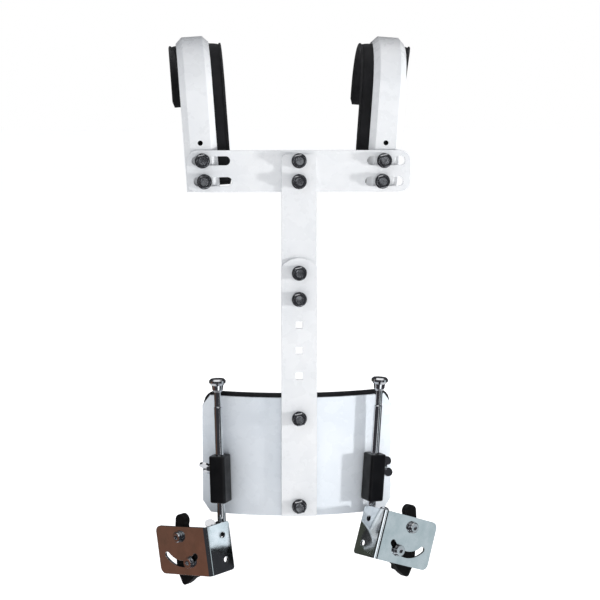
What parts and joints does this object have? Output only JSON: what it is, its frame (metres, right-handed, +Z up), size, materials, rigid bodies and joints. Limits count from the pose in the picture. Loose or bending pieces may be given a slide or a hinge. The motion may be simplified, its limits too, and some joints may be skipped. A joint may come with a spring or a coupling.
{
  "type": "marching drum carrier",
  "caption": "Shoulder harness for carrying a marching drum: padded shoulder hooks on a slotted bar, a bolted spine, a curved belly plate, and sliding rods with angle brackets and claws.",
  "frame": {"origin": "midway between the two shoulder hooks, at the pads' inner tops, where the wearer's shoulders bear", "axes": "+Z up; -Y to the front, away from the wearer; +X to the right as seen from the front"},
  "size_m": [0.3052, 0.1628, 0.5902],
  "materials": {
    "white_coat": "gloss white powder coat",
    "chrome": "bright plated",
    "black_plastic": "satin",
    "black_rubber": "matt",
    "foam_pad": "fabric over foam"
  },
  "bodies": {
    "frame": {"shoulder_bar": "white_coat", "spine_upper": "white_coat", "spine_lower": "white_coat", "belly_plate": "white_coat", "belly_pad": "foam_pad", "clamp_block_left": "black_plastic", "clamp_block_right": "black_plastic", "centre_bolts": "chrome", "centre_washers": "chrome", "centre_nuts": "chrome", "spine_bolts": "chrome", "spine_washers": "chrome", "spine_nuts": "chrome", "plate_bolts": "chrome", "plate_washers": "chrome", "plate_nuts": "chrome"},
    "strap_left": {"strap_left": "white_coat", "shoulder_pad_left": "foam_pad", "strap_left_bolts": "chrome", "strap_left_washers": "chrome", "strap_left_nuts": "chrome"},
    "rod_left": {"rod_left": "chrome"},
    "clamp_screw_left": {"clamp_screw_left": "chrome"},
    "bracket_left": {"bracket_left": "chrome", "collar_left": "black_plastic"},
    "collar_screw_left": {"collar_screw_left": "chrome"},
    "claw_left": {"claw_left": "black_rubber", "claw_screws_left": "chrome", "claw_washers_left": "chrome", "claw_nuts_left": "chrome"},
    "strap_right": {"strap_right": "white_coat", "shoulder_pad_right": "foam_pad", "strap_right_bolts": "chrome", "strap_right_washers": "chrome", "strap_right_nuts": "chrome"},
    "rod_right": {"rod_right": "chrome"},
    "clamp_screw_right": {"clamp_screw_right": "chrome"},
    "bracket_right": {"bracket_right": "chrome", "collar_right": "black_plastic"},
    "collar_screw_right": {"collar_screw_right": "chrome"},
    "claw_right": {"claw_right": "black_rubber", "claw_screws_right": "chrome", "claw_washers_right": "chrome", "claw_nuts_right": "chrome"}
  },
  "joints": [
    {"name": "strap_left_slide", "type": "slide", "parent": "frame", "child": "strap_left", "axis": [1, 0, 0], "range_m": [-0.006, 0.024]},
    {"name": "rod_left_slide", "type": "slide", "parent": "frame", "child": "rod_left", "axis": [-0.0262, 0, 0.9997], "range_m": [-0.064, 0.0015]},
    {"name": "bracket_left_swivel", "type": "hinge", "parent": "rod_left", "child": "bracket_left", "pos_m": [-0.08734, -0.05871, -0.348], "axis": [-0.0262, 0, 0.9997], "range_deg": [-15, 15]},
    {"name": "claw_left_tilt", "type": "hinge", "parent": "bracket_left", "child": "claw_left", "pos_m": [-0.12748, -0.06015, -0.5189], "axis": [-0.714, -0.6983, -0.0512], "range_deg": [-69.5, 21.5]},
    {"name": "clamp_screw_left_turn", "type": "hinge", "parent": "frame", "child": "clamp_screw_left", "pos_m": [-0.09294, -0.05493, -0.44621], "axis": [-0.9073, 0.4198, -0.0238], "range_deg": [0, 180]},
    {"name": "collar_screw_left_turn", "type": "hinge", "parent": "bracket_left", "child": "collar_screw_left", "pos_m": [-0.09043, -0.05732, -0.51169], "axis": [-0.9823, 0.1853, -0.0257], "range_deg": [0, 90]},
    {"name": "strap_right_slide", "type": "slide", "parent": "frame", "child": "strap_right", "axis": [1, 0, 0], "range_m": [-0.013, 0.017]},
    {"name": "rod_right_slide", "type": "slide", "parent": "frame", "child": "rod_right", "axis": [0.061, 0, 0.9981], "range_m": [-0.064, 0.0015]},
    {"name": "bracket_right_swivel", "type": "hinge", "parent": "rod_right", "child": "bracket_right", "pos_m": [0.08764, -0.06028, -0.348], "axis": [0.061, 0, 0.9981], "range_deg": [-15, 15]},
    {"name": "claw_right_tilt", "type": "hinge", "parent": "bracket_right", "child": "claw_right", "pos_m": [0.12035, -0.07246, -0.51002], "axis": [0.554, -0.8321, 0.0251], "range_deg": [-21.5, 69.5]},
    {"name": "clamp_screw_right_turn", "type": "hinge", "parent": "frame", "child": "clamp_screw_right", "pos_m": [0.08987, -0.05666, -0.4465], "axis": [0.9138, 0.4024, -0.0559], "range_deg": [0, 180]},
    {"name": "collar_screw_right_turn", "type": "hinge", "parent": "bracket_right", "child": "collar_screw_right", "pos_m": [0.08588, -0.0607, -0.49946], "axis": [0.9966, -0.0549, -0.061], "range_deg": [0, 90]}
  ]
}
